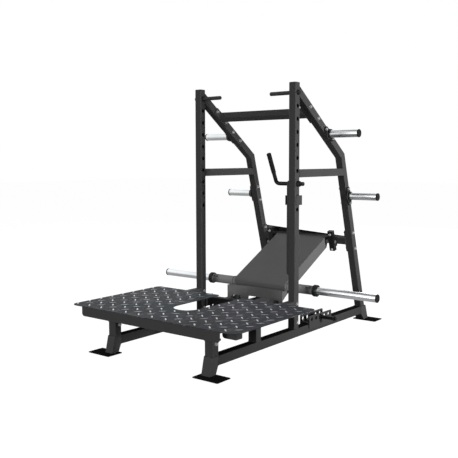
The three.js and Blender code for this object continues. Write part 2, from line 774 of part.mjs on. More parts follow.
// The side of the panel: along the top face, round the tube, back under it, round the pivot
function panelOutline() {
  const heel = Array.from({ length: cornerSteps * 2 + 1 }, (_, index) => {
    const angle = THREE.MathUtils.degToRad(
      panelHeel.lowAngle + (panelHeel.highAngle - panelHeel.lowAngle) * index / (cornerSteps * 2),
    );
    return [
      pivot.y + panelHeel.radius * Math.cos(angle),
      pivot.z + panelHeel.radius * Math.sin(angle),
    ];
  });
  const rearY = pivot.y - panelRearBack;
  return [
    [rearY, topLineZ(rearY)],
    ...wrapArc(panelRise),
    [tubeY - flangeToe.front, tubeZ - flangeToe.drop],
    [tubeY - flangeToe.heelFront, tubeZ - flangeToe.heelDrop],
    [tubeY + flangeKnee.back, tubeZ + flangeKnee.rise],
    [pivot.y + flangeRear.back, pivot.z - flangeRear.drop],
    ...heel,
  ];
}

function skirtFrontAt(x) {
  const lean = (skirt.front - skirt.foldFront) / (skirt.halfWidth - skirt.foldX);
  return tubeY - skirt.foldFront - lean * (x - skirt.foldX);
}

// Cross tube of the lever with a collar, a chromed horn and an end cap on each side
function buildLeverTube() {
  const { diameter, halfLength } = leverTube;
  const bore = hornDiameter + 2 * seatGap;
  part('lever_cross_tube', solid(pipeX(diameter, bore, -halfLength, halfLength, tubeY, tubeZ)),
    leverPaint);
  const collarEnd = halfLength + leverCollar.reach;
  for (const [word, side] of sides) {
    const ring = [
      [bore / 2, halfLength + seatGap],
      [leverCollar.diameter / 2 - leverCollar.rim, halfLength + seatGap],
      [leverCollar.diameter / 2, halfLength + leverCollar.rim],
      [leverCollar.diameter / 2, collarEnd - leverCollar.rim],
      [leverCollar.diameter / 2 - leverCollar.rim, collarEnd],
      [bore / 2, collarEnd],
      [bore / 2, halfLength + seatGap],
    ];
    part(`lever_collar_${word}`, mirrored(solid(turnedX(ring, tubeY, tubeZ)), side), blackParts);
    const horn = pipeX(hornDiameter, hornDiameter - 2 * hornWall, halfLength - leverHornRoot,
      leverHornEnd, tubeY, tubeZ);
    part(`lever_horn_${word}`, mirrored(solid(horn), side), chrome);
    part(`lever_horn_cap_${word}`, mirrored(solid(endCap(leverHornEnd, tubeY, tubeZ)), side),
      blackParts);
  }
}

// Folded plate under the front of the lever, with gussets, an arch and pads over the bumpers
// The flat fold along the top of one wing that reaches back to the lever tube
function skirtTopShape() {
  const { thickness, halfWidth, foldX } = skirt;
  const [frontY, foldY] = [skirtFrontAt(halfWidth), skirtFrontAt(foldX)];
  const outline = [
    [foldX, foldY],
    [halfWidth, frontY],
    [halfWidth, tubeY],
    [foldX, tubeY],
  ].map((point) => new THREE.Vector2(...point));
  return prism(outline, thickness).translate(0, 0, tubeZ - skirt.topDrop - thickness);
}

// Clearance slot in that fold for one side flange of the lever panel
function flangeRoomShape() {
  const outline = [
    [tubeY - flangeRoom, tubeZ - flangeToe.drop],
    [tubeY, tubeZ - flangeToe.drop],
    [tubeY, tubeZ],
    [tubeY - flangeRoom, tubeZ],
  ];
  return sidePrism(outline, panelHalfWidth - panelThickness - seatGap, panelHalfWidth + seatGap);
}

function buildSkirt() {
  const { thickness, halfWidth, foldX } = skirt;
  const [frontY, foldY] = [skirtFrontAt(halfWidth), skirtFrontAt(foldX)];
  const [bottom, top] = [tubeZ - skirt.drop, tubeZ - skirt.topDrop];
  const outline = [
    [-halfWidth, frontY],
    [-foldX, foldY],
    [foldX, foldY],
    [halfWidth, frontY],
    [halfWidth, frontY + thickness],
    [foldX, foldY + thickness],
    [-foldX, foldY + thickness],
    [-halfWidth, frontY + thickness],
  ].map((point) => new THREE.Vector2(...point));
  let shape = solid(prism(outline, top - bottom).translate(0, 0, bottom));
  for (const [, side] of sides) {
    const plate = sidePrism(gussetOutline(frontY), halfWidth - thickness, halfWidth);
    shape = shape.add(mirrored(solid(plate).add(solid(skirtPadShape())), side));
  }
  const cutFront = frontY - cutOverrun;
  const cutRear = foldY + thickness + cutOverrun;
  const archRise = tubeZ - skirtArch.crownDrop - bottom;
  const arch = roundedRectangle(2 * skirtArch.halfWidth, 2 * archRise, skirtArch.corner);
  shape = shape.subtract(solid(frontPrism(arch, cutFront, cutRear).translate(0, 0, bottom)));
  const notchRise = bumperTop + seatGap - bottom;
  const notch = roundedRectangle(2 * skirtNotch.halfWidth, 2 * notchRise, skirtNotch.corner);
  for (const [, side] of sides) {
    shape = shape.subtract(solid(frontPrism(notch, cutFront, cutRear)
      .translate(side * bumper.x, 0, bottom)));
  }
  const fold = solid(skirtTopShape()).subtract(solid(flangeRoomShape()));
  for (const [, side] of sides) {
    shape = shape.add(mirrored(fold, side));
  }
  const tubeRoom = leverTube.diameter + 2 * seatGap;
  const reach = halfWidth + cutOverrun;
  shape = shape.subtract(solid(barX(tubeRoom, -reach, reach, tubeY, tubeZ)));
  part('lever_skirt', shape, leverPaint);
  part('belt_eye', beltEye(), leverPaint);
}

// A flat pad behind the skirt's wing that comes down on the bumper
function skirtPadShape() {
  const [low, high] = [bumper.x - skirtPad.halfWidth, bumper.x + skirtPad.halfWidth];
  const rearY = tubeY - skirtPad.front;
  const outline = [
    [low, skirtFrontAt(low) + seatGap],
    [high, skirtFrontAt(high) + seatGap],
    [high, rearY],
    [low, rearY],
  ].map((point) => new THREE.Vector2(...point));
  return prism(outline, skirt.thickness).translate(0, 0, bumperTop + seatGap);
}

function gussetOutline(frontY) {
  return [
    [frontY, tubeZ - gusset.frontDrop],
    [tubeY - gusset.rearFront, tubeZ - gusset.rearDrop],
    [tubeY, tubeZ - leverTube.diameter / 2 + seatGap],
    [tubeY, tubeZ - gusset.topDrop],
    [frontY, tubeZ - gusset.topDrop],
  ];
}

// A plate with a hole for the belt's hook, hanging under the middle of the cross tube
function beltEye() {
  const { thickness, width, drop, corner, hole } = beltLug;
  const tubeBottom = tubeZ - leverTube.diameter / 2;
  const outline = roundedRectangle(width, 2 * drop, corner);
  const plate = solid(sidePrism(outline, -thickness / 2, thickness / 2).translate(0, tubeY, tubeBottom));
  const room = barX(leverTube.diameter + 2 * seatGap, -thickness, thickness, tubeY, tubeZ);
  const above = blockBetween([-thickness, tubeY - width, tubeZ - leverTube.diameter / 4],
    [thickness, tubeY + width, tubeZ + leverTube.diameter]);
  const eye = barX(hole, -thickness, thickness, tubeY, tubeBottom - drop / 2, holeSides);
  return plate.subtract(solid(room)).subtract(solid(above)).subtract(solid(eye));
}

// Bearing blocks for the pivot shaft, clamped against the front of the pivot cross tube
function buildBearings() {
  const offset = new THREE.Vector2(pivot.y - pivotCross.y, pivot.z - pivotCross.z);
  const across = new THREE.Vector2(-rearPostWay.y, rearPostWay.x);
  const shaftPlace = [offset.dot(rearPostWay), offset.dot(across)];
  const faceFront = shaftPlace[1] - bearing.frontCover;
  const faceRear = -postTube.depth / 2 - seatGap;
  const plateRear = faceFront + bearing.thickness;
  const [low, high] = [bearing.rise - bearing.length / 2, bearing.rise + bearing.length / 2];
  const outline = [
    [low, faceFront],
    [high, faceFront],
    [high, plateRear],
    [shaftPlace[0] + bearing.housing / 2, plateRear],
    [shaftPlace[0] + bearing.housing / 2, faceRear],
    [shaftPlace[0] - bearing.housing / 2, faceRear],
    [shaftPlace[0] - bearing.housing / 2, plateRear],
    [low, plateRear],
  ];
  const bore = barX(pivotShaft.diameter + 2 * seatGap, bearing.inner - cutOverrun,
    bearing.outer + cutOverrun, pivot.y, pivot.z);
  const block = solid(laid(sidePrism(outline, bearing.inner, bearing.outer), rearPostWay,
    pivotCross.y, pivotCross.z)).subtract(solid(bore));
  for (const [word, side] of sides) {
    part(`bearing_block_${word}`, mirrored(block, side), blackParts);
  }
}

// Catch on the right upright: a hanging hook arm that turns with a hand lever
function buildCatch() {
  const { thickness, frontY, rearY, bottom, corner } = catchArm;
  const top = handleZ + catchArm.rise;
  const { rise, reach, lip, lipTop } = catchHook;
  const outline = [
    [frontY, top - corner],
    [frontY, bottom + corner],
    [frontY + corner, bottom],
    [reach - lip, bottom],
    [reach, bottom + lip],
    [reach, lipTop],
    [reach - lip, lipTop],
    [reach - lip, bottom + rise],
    [rearY, bottom + rise],
    [rearY, top - corner],
    [rearY - corner, top],
    [frontY + corner, top],
  ];
  const hole = barX(catchBar.diameter + 2 * seatGap, catchInner - cutOverrun,
    catchInner + thickness + cutOverrun, uprightMiddleY, handleZ);
  const arm = solid(sidePrism(outline, catchInner, catchInner + thickness)).subtract(solid(hole));
  part('catch_arm', arm, paint);

  const start = new THREE.Vector3(uprightOuter + catchBar.outerReach, uprightMiddleY, handleZ);
  const bendPoint = new THREE.Vector3(uprightInner - catchBar.innerReach, uprightMiddleY, handleZ);
  const tip = new THREE.Vector3(bendPoint.x, catchTip.y, handleZ + catchTip.rise);
  const lean = tip.clone().sub(bendPoint).normalize();
  const bendStart = bendPoint.clone().add(new THREE.Vector3(catchBar.bendRadius, 0, 0));
  const bendEnd = bendPoint.clone().addScaledVector(lean, catchBar.bendRadius);
  const path = new THREE.CurvePath();
  path.add(new THREE.LineCurve3(start, bendStart));
  path.add(new THREE.QuadraticBezierCurve3(bendStart, bendPoint, bendEnd));
  path.add(new THREE.LineCurve3(bendEnd, tip));
  const bar = solid(new THREE.ExtrudeGeometry(new THREE.Shape(circle(catchBar.diameter / 2, holeSides)),
    { steps: roundSides, extrudePath: path, bevelEnabled: false }));
  const washer = solid(pipeX(catchWasher.diameter, catchBar.diameter - catchBar.bite,
    uprightOuter + seatGap, uprightOuter + seatGap + catchWasher.thickness, uprightMiddleY, handleZ));
  part('catch_handle', bar.add(washer), blackParts);

  const gripStart = tip.clone().addScaledVector(lean, catchGrip.cover - catchGrip.length);
  const turn = new THREE.Quaternion().setFromUnitVectors(new THREE.Vector3(0, 0, 1), lean);
  const upAlong = (radius, length) => prism(circle(radius), length)
    .applyQuaternion(turn)
    .translate(gripStart.x, gripStart.y, gripStart.z);
  const sleeve = solid(upAlong(catchGrip.diameter / 2, catchGrip.length));
  const room = solid(upAlong(catchBar.diameter / 2 + seatGap,
    catchGrip.length - catchGrip.cover + seatGap));
  part('catch_grip', sleeve.subtract(room), blackParts);

  const outerX = uprightOuter + seatGap + guideStrap.thickness;
  const legInner = catchInner - guideStrap.gap;
  const legOuter = legInner - guideStrap.thickness;
  const strap = [
    [legOuter, guideStrap.frontY],
    [legInner, guideStrap.frontY],
    [legInner, guideStrap.rearY - guideStrap.thickness],
    [uprightOuter + seatGap, guideStrap.rearY - guideStrap.thickness],
    [uprightOuter + seatGap, guideStrap.frontY],
    [outerX, guideStrap.frontY],
    [outerX, guideStrap.rearY],
    [legOuter, guideStrap.rearY],
  ].map((point) => new THREE.Vector2(...point));
  part('catch_guide', prism(strap, guideStrap.top - guideStrap.bottom)
    .translate(0, 0, guideStrap.bottom), paint);
}

buildBase();
buildDeck();
buildFrame();
buildBumpers();
buildStorage();
buildBandBrackets();
buildLeverPanel();
buildLeverTube();
buildSkirt();
buildBearings();
buildCatch();

export default machine;
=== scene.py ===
"""Belt squat machine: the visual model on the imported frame, in metres."""
import json
import math
import bmesh
import bpy
from mathutils import Matrix, Vector

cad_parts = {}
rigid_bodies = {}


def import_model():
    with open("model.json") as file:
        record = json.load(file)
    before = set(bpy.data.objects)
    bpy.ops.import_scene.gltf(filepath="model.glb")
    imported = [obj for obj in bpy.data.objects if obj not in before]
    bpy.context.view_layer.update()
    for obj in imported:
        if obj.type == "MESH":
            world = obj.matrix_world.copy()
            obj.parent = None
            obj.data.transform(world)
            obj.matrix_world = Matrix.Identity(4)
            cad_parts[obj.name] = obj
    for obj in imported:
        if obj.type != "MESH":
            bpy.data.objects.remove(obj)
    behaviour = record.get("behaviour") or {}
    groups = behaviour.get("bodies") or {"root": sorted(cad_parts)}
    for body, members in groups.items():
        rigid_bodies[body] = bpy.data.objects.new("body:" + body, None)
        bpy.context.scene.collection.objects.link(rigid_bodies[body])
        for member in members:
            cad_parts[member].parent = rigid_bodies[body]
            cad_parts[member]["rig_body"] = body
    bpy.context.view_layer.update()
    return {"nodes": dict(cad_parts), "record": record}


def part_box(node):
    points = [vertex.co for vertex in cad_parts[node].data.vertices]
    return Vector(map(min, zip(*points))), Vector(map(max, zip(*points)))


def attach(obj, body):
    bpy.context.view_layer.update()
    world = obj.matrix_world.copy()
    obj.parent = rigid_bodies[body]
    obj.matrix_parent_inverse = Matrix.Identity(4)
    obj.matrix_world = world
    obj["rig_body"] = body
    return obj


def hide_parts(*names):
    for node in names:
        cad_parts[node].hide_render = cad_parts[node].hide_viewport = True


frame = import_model()
scene = bpy.context.scene
SIDES = (("left", -1), ("right", 1))


# ---- Measuring the frame ----

def bar_of(node, sides=24):
    """Middle, radius, both ends and side of a round bar along X, from its CAD node."""
    low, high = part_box(node)
    middle = (low + high) / 2
    radius = (high.z - low.z) / 2 / math.cos(math.pi / sides)
    side = 1 if middle.x > 0 else -1
    near, far = sorted((abs(low.x), abs(high.x)))
    return Vector((0, middle.y, middle.z)), radius, near, far, side


def joint_place(name):
    joints = frame["record"]["behaviour"]["joints"]
    return next(Vector(joint["pos_m"]) for joint in joints if joint["name"] == name)


def body_of(node):
    return frame["nodes"][node]["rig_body"]


def node_middle(node):
    low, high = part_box(node)
    return (low + high) / 2


def outer_x(node):
    """How far a node on either side reaches out from the middle of the machine."""
    return max(abs(corner.x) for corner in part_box(node))


def at_x(x, place):
    """A place moved sideways to another x."""
    return Vector((x, place.y, place.z))


plate_low, plate_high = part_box("platform_plate")
upright_low, upright_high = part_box("upright_right")
panel_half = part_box("lever_panel")[1].x
catch_axis = joint_place("catch_swing")
pivot_place = joint_place("lever_pivot")
DECK_TOP = plate_high.z
RAIL_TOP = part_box("base_rail_right")[1].z
FOOT_PLATE_TOP = 0.0062

# The slopes of a rear leg above and below its bend, and the way its lower part faces.
BRACE_WAY = Vector((0, 0.570, -0.409)).normalized()
POST_WAY = Vector((0, 0.319, -1.1015)).normalized()
POST_FRONT = Vector((0, POST_WAY.z, -POST_WAY.y))


# ---- Shader maths ----

class Value:
    """A shader socket that Python operators can work on."""

    def __init__(self, surface, socket):
        self.surface, self.socket = surface, socket

    def _math(self, operation, first, second, clamp=False):
        return self.surface.node("ShaderNodeMath", {"operation": operation, "use_clamp": clamp},
                                 {0: first, 1: second})

    def __add__(self, other):
        return self._math("ADD", self, other)

    __radd__ = __add__

    def __sub__(self, other):
        return self._math("SUBTRACT", self, other)

    def __rsub__(self, other):
        return self._math("SUBTRACT", other, self)

    def __mul__(self, other):
        return self._math("MULTIPLY", self, other)

    __rmul__ = __mul__

    def clamped(self):
        return self._math("ADD", self, 0.0, clamp=True)

    def between(self, low, high):
        """0 below low, 1 above high, smooth in between."""
        return self.surface.node("ShaderNodeMapRange", {"interpolation_type": "SMOOTHSTEP"},
                                 {0: self, 1: low, 2: high})


class Surface:
    """The nodes of one material or world, which all come from the method node()."""

    def __init__(self, block, space="Object"):
        self.block = block
        block.use_nodes = True
        self.tree = block.node_tree
        self.tree.nodes.clear()
        self.place = self.node("ShaderNodeTexCoord", {}, {}, space)

    def node(self, kind, settings, inputs, output=0):
        made = self.tree.nodes.new(kind)
        for name, value in settings.items():
            setattr(made, name, value)
        for key, value in inputs.items():
            if isinstance(value, Value):
                self.tree.links.new(value.socket, made.inputs[key])
            else:
                made.inputs[key].default_value = value
        return Value(self, made.outputs[output])

    def noise(self, scale, detail=2.0, roughness=0.5, at=None):
        return self.node("ShaderNodeTexNoise", {}, {
            "Vector": at or self.place, "Scale": scale, "Detail": detail, "Roughness": roughness})

    def stretched(self, x, y, z):
        """The place, with each direction scaled by its own amount."""
        return self.node("ShaderNodeVectorMath", {"operation": "MULTIPLY"},
                         {0: self.place, 1: (x, y, z)})

    def along(self, axis):
        """The place along one axis, which is 0, 1 or 2 for X, Y or Z."""
        return self.node("ShaderNodeSeparateXYZ", {}, {0: self.place}, axis)

    def is_ray(self, kind):
        """1 for light paths of a kind, such as Camera or Glossy, and 0 for all others."""
        return self.node("ShaderNodeLightPath", {}, {}, f"Is {kind} Ray")

    def colour(self, low, high, amount):
        """Mixes two colours by an amount."""
        return self.node("ShaderNodeMix", {"data_type": "RGBA"},
                         {"Factor": amount, 6: low, 7: high}, 2)

    def bump(self, height, distance):
        return self.node("ShaderNodeBump", {}, {
            "Height": height, "Distance": distance, "Strength": 1.0})

    def output(self, shader, kind="ShaderNodeOutputMaterial"):
        out = self.tree.nodes.new(kind)
        self.tree.links.new(shader.socket, out.inputs["Surface"])
        return self.block

    def finish(self, **sockets):
        inputs = {name.replace("_", " "): value for name, value in sockets.items()}
        return self.output(self.node("ShaderNodeBsdfPrincipled", {}, inputs))


def new_surface(name):
    return Surface(bpy.data.materials.new(name))


def tone(code, amount=1.0):
    """The linear colour of a hex code as it would look on a screen, scaled by an amount."""
    parts = [int(code[i:i + 2], 16) / 255 for i in (0, 2, 4)]
    linear = [p / 12.92 if p <= 0.04045 else ((p + 0.055) / 1.055) ** 2.4 for p in parts]
    return tuple(p * amount for p in linear) + (1.0,)


# ---- Materials ----

def powder_coat(name, code, shine=0.06, shaded_below=None, shaded_top=None):
    """Baked-on powder: a fine orange peel, slightly uneven gloss, a trace of dust.

    Given the height of the foot plates' tops, everything below it is near black: painted shade on
    the plates, which little light reaches from above.
    Given the height of a tube's top, the coat is darker on the face at that height: painted shade
    on a top face that little light reaches.
    """
    s = new_surface(name)
    peel = s.noise(520.0, 3.0, 0.6)
    sand = s.noise(2100.0, 2.0, 0.6)
    cloud = s.noise(5.0, 3.0, 0.55)
    dust = s.noise(38.0, 5.0, 0.65).between(0.56, 0.78)
    colour = s.colour(tone(code, 0.9), tone(code, 1.1), cloud)
    colour = s.colour(colour, tone(code, 1.45), dust * 0.22)
    # Painted shade: the top face of the tube is darkened, as little light falls on it.
    if shaded_top:
        painted_top_shade = s.along(2).between(shaded_top - 0.0013, shaded_top - 0.0004)
        colour = s.colour(colour, tone(code, 0.26), painted_top_shade)
    # Painted shade: everything below the foot plates' tops is near black, as little light falls on
    # them.
    if shaded_below:
        clear_of_painted_shade = s.along(2).between(shaded_below, shaded_below + 0.0004)
        colour = s.colour(tone(code, 0.22), colour, clear_of_painted_shade)
    return s.finish(
        Base_Color=colour,
        Roughness=0.5 + 0.1 * cloud + 0.1 * dust,
        Metallic=0.0,
        Specular_IOR_Level=shine,
        Normal=s.bump(peel + 0.5 * sand, 0.00012),
    )


def tread_paint(name):
    """Dark slate coating of the tread plate's ground, scuffed by shoes."""
    s = new_surface(name)
    scuff = s.noise(9.0, 6.0, 0.7).between(0.5, 0.72)
    grit = s.noise(900.0, 3.0, 0.6)
    speck = s.noise(1.0, 4.0, 0.75, s.stretched(34.0, 7.0, 34.0)).between(0.38, 0.62)
    streak = s.noise(1.0, 4.0, 0.6, s.stretched(60.0, 9.0, 9.0)).between(0.52, 0.7)
    cast = s.noise(2.6, 3.0, 0.6).between(0.38, 0.62)
    colour = s.colour(tone("40494e"), tone("514f56"), cast)
    colour = s.colour(colour, tone("696a71"), scuff * 0.5 + streak * 0.4)
    colour = s.colour(tone("33393c"), colour, speck * 0.6 + 0.4)
    colour = s.colour(colour, tone("85828c"), speck * streak)
    return s.finish(
        Base_Color=colour,
        Metallic=0.0,
        Specular_IOR_Level=0.05,
        Roughness=0.5 + 0.15 * grit - 0.1 * scuff,
        Normal=s.bump(grit, 0.00015),
    )


def tread_lugs(name):
    """The raised lugs, rubbed to bare metal along their crowns, which are also lighter as a painted
    highlight.
    """
    s = new_surface(name)
    # Wear and a painted highlight: the crowns turn light, bare metal.
    crown_wear_and_highlight = s.along(2).between(DECK_TOP + 0.0007, DECK_TOP + 0.0017)
    patch = s.noise(60.0, 4.0, 0.6)
    wear_and_highlight = (crown_wear_and_highlight * (0.7 + 0.6 * patch)).clamped()
    return s.finish(
        Base_Color=s.colour(tone("3a3f44"), tone("c2c6ca"), wear_and_highlight),
        Metallic=0.2 + 0.55 * wear_and_highlight,
        Roughness=0.5 - 0.15 * wear_and_highlight,
        Normal=s.bump(s.noise(900.0, 3.0), 0.0001),
    )


def chrome(name):
    """Hard chrome with a slight, uneven haze."""
    s = new_surface(name)
    haze = s.noise(7.0, 1.0, 0.4)
    return s.finish(
        Base_Color=s.colour(tone("dcdee0"), tone("cdd0d2"), haze),
        Metallic=1.0,
        Roughness=0.25 + 0.06 * haze,
    )


def zinc(name):
    """Bright zinc plate on bolts, slightly blue and cloudy."""
    s = new_surface(name)
    cloud = s.noise(160.0, 4.0, 0.6)
    return s.finish(
        Base_Color=s.colour(tone("a6aaae"), tone("cfd2d4"), cloud),
        Metallic=0.35,
        Roughness=0.26 + 0.18 * cloud,
        Normal=s.bump(s.noise(1500.0, 2.0), 0.00002),
    )


def plastic(name):
    """Moulded black plastic with a spark-eroded grain."""
    s = new_surface(name)
    grain = s.noise(1700.0, 2.0, 0.5)
    cloud = s.noise(30.0, 3.0)
    return s.finish(
        Base_Color=s.colour(tone("171718", 0.85), tone("171718", 1.25), cloud),
        Specular_IOR_Level=0.15,
        Roughness=0.48 + 0.14 * cloud,
        Normal=s.bump(grain, 0.00008),
    )


def rubber(name, paler=1.0):
    """Dull rubber, a little dusty; black, or a number of times paler."""
    s = new_surface(name)
    dust = s.noise(70.0, 5.0, 0.65).between(0.5, 0.8)
    return s.finish(
        Base_Color=s.colour(tone("151516", paler), tone("2c2b2a", paler), dust * 0.5),
        Specular_IOR_Level=0.2,
        Roughness=0.78 + 0.12 * dust,
        Normal=s.bump(s.noise(800.0, 3.0), 0.0001),
    )


def enamel(name, paler=1.0):
    """Satin enamel over steel; black, or a number of times paler."""
    s = new_surface(name)
    cloud = s.noise(22.0, 4.0)
    rub = s.noise(90.0, 5.0, 0.7).between(0.62, 0.78)
    return s.finish(
        Base_Color=s.colour(tone("19191a", paler), tone("3a3a3b", paler), rub * 0.5),
        Roughness=0.38 + 0.15 * cloud,
        Specular_IOR_Level=0.2,
        Metallic=0.0,
        Normal=s.bump(s.noise(700.0, 3.0), 0.00008),
    )


FRAME_COAT = powder_coat("frame_powder_coat", "4e4e4e")
# The foot and rail coats carry painted shade on their upward faces.
FOOT_COAT_SHADED = powder_coat("foot_powder_coat_painted_shade", "5c5c5c", 0.0, shaded_below=FOOT_PLATE_TOP)
RAIL_COAT_SHADED = powder_coat("rail_powder_coat_painted_shade", "4e4e4e", 0.0, shaded_top=RAIL_TOP)
LEVER_COAT = powder_coat("lever_powder_coat", "737374")
# A lighter copy of the lever's paint for the cross tube's ends: painted light.
TUBE_COAT_PAINTED_LIGHT = powder_coat("lever_tube_powder_coat_painted_light", "a5a5a6")
TREAD = tread_paint("tread_plate_coating")
LUGS = tread_lugs("tread_plate_lugs")
CHROME = chrome("hard_chrome")
ZINC = zinc("zinc_plated_bolts")
PLASTIC = plastic("black_moulded_plastic")
RUBBER = rubber("black_rubber")
BUFFER = rubber("grey_rubber", 6.0)
BLACK = enamel("black_satin_steel")
PEG = enamel("peg_enamel", 4.5)


# ---- Making pieces ----

EDGE_WIDTH = 0.0012
EDGE_ANGLE = math.radians(40.0)
WASHER_RISE = 0.0022
WASHER_EASE = 0.0006
HEX_STEPS = 24


def piece(name, bm, material, body, stands_for=(), crease=32.0):
    """A finished piece that rides on a body and stands for CAD nodes.

    Edges sharper than the crease angle stay sharp in the shading.
    """
    made = bpy.data.objects.new(name, mesh_of(bm, name, crease))
    scene.collection.objects.link(made)
    made.data.materials.append(material)
    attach(made, body)
    if stands_for:
        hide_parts(*stands_for)
    return made


def mesh_of(bm, name, crease=32.0):
    bmesh.ops.recalc_face_normals(bm, faces=bm.faces)
    mesh = bpy.data.meshes.new(name)
    bm.to_mesh(mesh)
    bm.free()
    for face in mesh.polygons:
        face.use_smooth = True
    mesh.set_sharp_from_angle(angle=math.radians(crease))
    return mesh


def eased(node, material, width=EDGE_WIDTH):
    """The piece of a CAD node with its edges eased, as a pressed or sawn edge under paint."""
    bm = bmesh.new()
    bm.from_mesh(frame["nodes"][node].data)
    bmesh.ops.remove_doubles(bm, verts=bm.verts, dist=1e-6)
    bmesh.ops.dissolve_limit(bm, angle_limit=math.radians(0.5), verts=bm.verts, edges=bm.edges)
    made = piece(node + "_finished", bm, material, body_of(node), (node,))
    bevel = made.modifiers.new("eased_edges", "BEVEL")
    bevel.width = width
    bevel.segments = 2
    bevel.limit_method = "ANGLE"
    bevel.angle_limit = EDGE_ANGLE
    bevel.use_clamp_overlap = True
    weighted = made.modifiers.new("even_shading", "WEIGHTED_NORMAL")
    weighted.keep_sharp = True
    return made


def add_turned(bm, profile, centre, direction, segments=64):
    """Adds a lathed shape: profile lists (radius, distance along the direction)."""
    along = Vector(direction).normalized()
    turn = along.to_track_quat("Z", "Y").to_matrix()
    rings = []
    for radius, distance in profile:
        if radius < 1e-9:
            rings.append([bm.verts.new(Vector(centre) + along * distance)])
            continue
        ring = []
        for step in range(segments):
            angle = 2 * math.pi * step / segments
            offset = turn @ Vector((radius * math.cos(angle), radius * math.sin(angle), 0))
            ring.append(bm.verts.new(Vector(centre) + along * distance + offset))
        rings.append(ring)
    for low, high in zip(rings, rings[1:]):
        for step in range(segments):
            after = (step + 1) % segments
            corners = [low[step % len(low)], low[after % len(low)],
                       high[after % len(high)], high[step % len(high)]]
            unique = list(dict.fromkeys(corners))
            if len(unique) > 2:
                bm.faces.new(unique)


def turned(name, profile, centre, direction, material, body, stands_for=(), segments=96):
    bm = bmesh.new()
    add_turned(bm, profile, centre, direction, segments)
    return piece(name, bm, material, body, stands_for)


def fillet(radius, distance, size, start, end, steps=5):
    """Points of a rounded corner in a turning profile, between two angles in degrees."""
    points = []
    for step in range(steps + 1):
        angle = math.radians(start + (end - start) * step / steps)
        points.append((radius + size * math.cos(angle), distance + size * math.sin(angle)))
    return points


def ring_at(bm, point, first, second, radius, sides):
    """New vertices on a circle around a point, in the plane of two directions."""
    return [bm.verts.new(point + radius * (
        math.cos(2 * math.pi * k / sides) * first + math.sin(2 * math.pi * k / sides) * second))
        for k in range(sides)]


def join_rings(bm, low, high, shift=0):
    """Faces between two rings; shift says which vertex of high is opposite low's first."""
    count = len(low)
    for k in range(count):
        bm.faces.new((low[k], low[(k + 1) % count],
                      high[(k + 1 + shift) % count], high[(k + shift) % count]))


def hex_bolt(bm, centre, direction, across=0.016, head=0.0075, washer=0.0105, turn=0.0,
             stud=0.0):
    """A washer, a chamfered hexagon head, and a stud end where it is a nut."""
    along = Vector(direction).normalized()
    base = Vector(centre)
    if washer:
        add_turned(bm, [(0, 0), (washer, 0), (washer, WASHER_RISE - WASHER_EASE),
                        (washer - WASHER_EASE, WASHER_RISE), (0, WASHER_RISE)], base, along, 40)
        base = base + along * WASHER_RISE
    basis = along.to_track_quat("Z", "Y").to_matrix() @ Matrix.Rotation(turn, 3, "Z")
    corner = across / math.sqrt(3)
    rings = []
    for share, height in ((1.0, 0.0), (1.0, head - 0.0016), (0.9, head - 0.0002), (0.86, head)):
        ring = []
        for step in range(HEX_STEPS):
            angle = math.radians(360 / HEX_STEPS * step)
            flat = across / 2 / math.cos((angle + math.pi / 6) % (math.pi / 3) - math.pi / 6)
            reach = min(flat, corner * share)
            ring.append(bm.verts.new(base + along * height + basis @ Vector(
                (reach * math.cos(angle), reach * math.sin(angle), 0))))
        rings.append(ring)
    for low, high in zip(rings, rings[1:]):
        join_rings(bm, low, high)
    bm.faces.new(rings[-1])
    bm.faces.new(list(reversed(rings[0])))
    if stud:
        add_turned(bm, [(0, 0), (across * 0.31, 0), (across * 0.31, stud - 0.001),
                        (across * 0.27, stud), (0, stud)],
                   base + along * (head - 0.0005), along, 32)


def bolts(name, places, **size):
    """A set of bolts as one piece; places lists (centre, direction)."""
    bm = bmesh.new()
    for index, (centre, direction) in enumerate(places):
        hex_bolt(bm, centre, direction, turn=0.35 + 0.9 * index, **size)
    return piece(name, bm, ZINC, "frame", crease=28.0)


# ---- Chromed horns, their caps and collars ----

HORN_WALL = 0.004
CAP_PLATE = 0.0077
CAP_PLAY = 0.0051
TUBE_BORE = 0.0253


def horn(node):
    centre, radius, near, far, side = bar_of(node)
    inner = radius - HORN_WALL
    turned(node + "_tube", [
        (inner, near), (radius - 0.0005, near), (radius, near + 0.0005),
        *fillet(radius - 0.001, far - 0.001, 0.001, 0, 90, 3),
        (inner + 0.0004, far), (inner, far - 0.0004), (inner, near),
    ], centre, (side, 0, 0), CHROME, body_of(node), (node,))


def horn_cap(node):
    """A plug in the horn's end, with a rounded rim and a face that is set back a little."""
    centre, radius, near, far, side = bar_of(node)
    plug = radius - CAP_PLAY
    start = far - CAP_PLATE
    turned(node + "_moulding", [
        (0, near), (plug - 0.001, near), (plug, near + 0.001), (plug, start),
        *fillet(radius - 0.0006, start + 0.0006, 0.0006, -90, 0, 3),
        *fillet(radius - 0.0026, far - 0.0026, 0.0026, 0, 90),
        (radius - 0.0055, far), (radius - 0.0068, far - 0.0009), (0.004, far - 0.0009),
        (0.0036, far - 0.0013), (0, far - 0.0013),
    ], centre, (side, 0, 0), PLASTIC, body_of(node), (node,))


def collar(node):
    """A ring with rounded edges and a groove around its middle."""
    centre, radius, near, far, side = bar_of(node)
    middle = (near + far) / 2
    turned(node + "_ring", [
        (TUBE_BORE, near), *fillet(radius - 0.003, near + 0.003, 0.003, -90, 0),
        (radius, middle - 0.0026), (radius - 0.0011, middle - 0.0016),
        (radius - 0.0011, middle + 0.0016), (radius, middle + 0.0026),
        *fillet(radius - 0.003, far - 0.003, 0.003, 0, 90), (TUBE_BORE, far), (TUBE_BORE, near),
    ], centre, (side, 0, 0), BLACK, "lever", (node,))


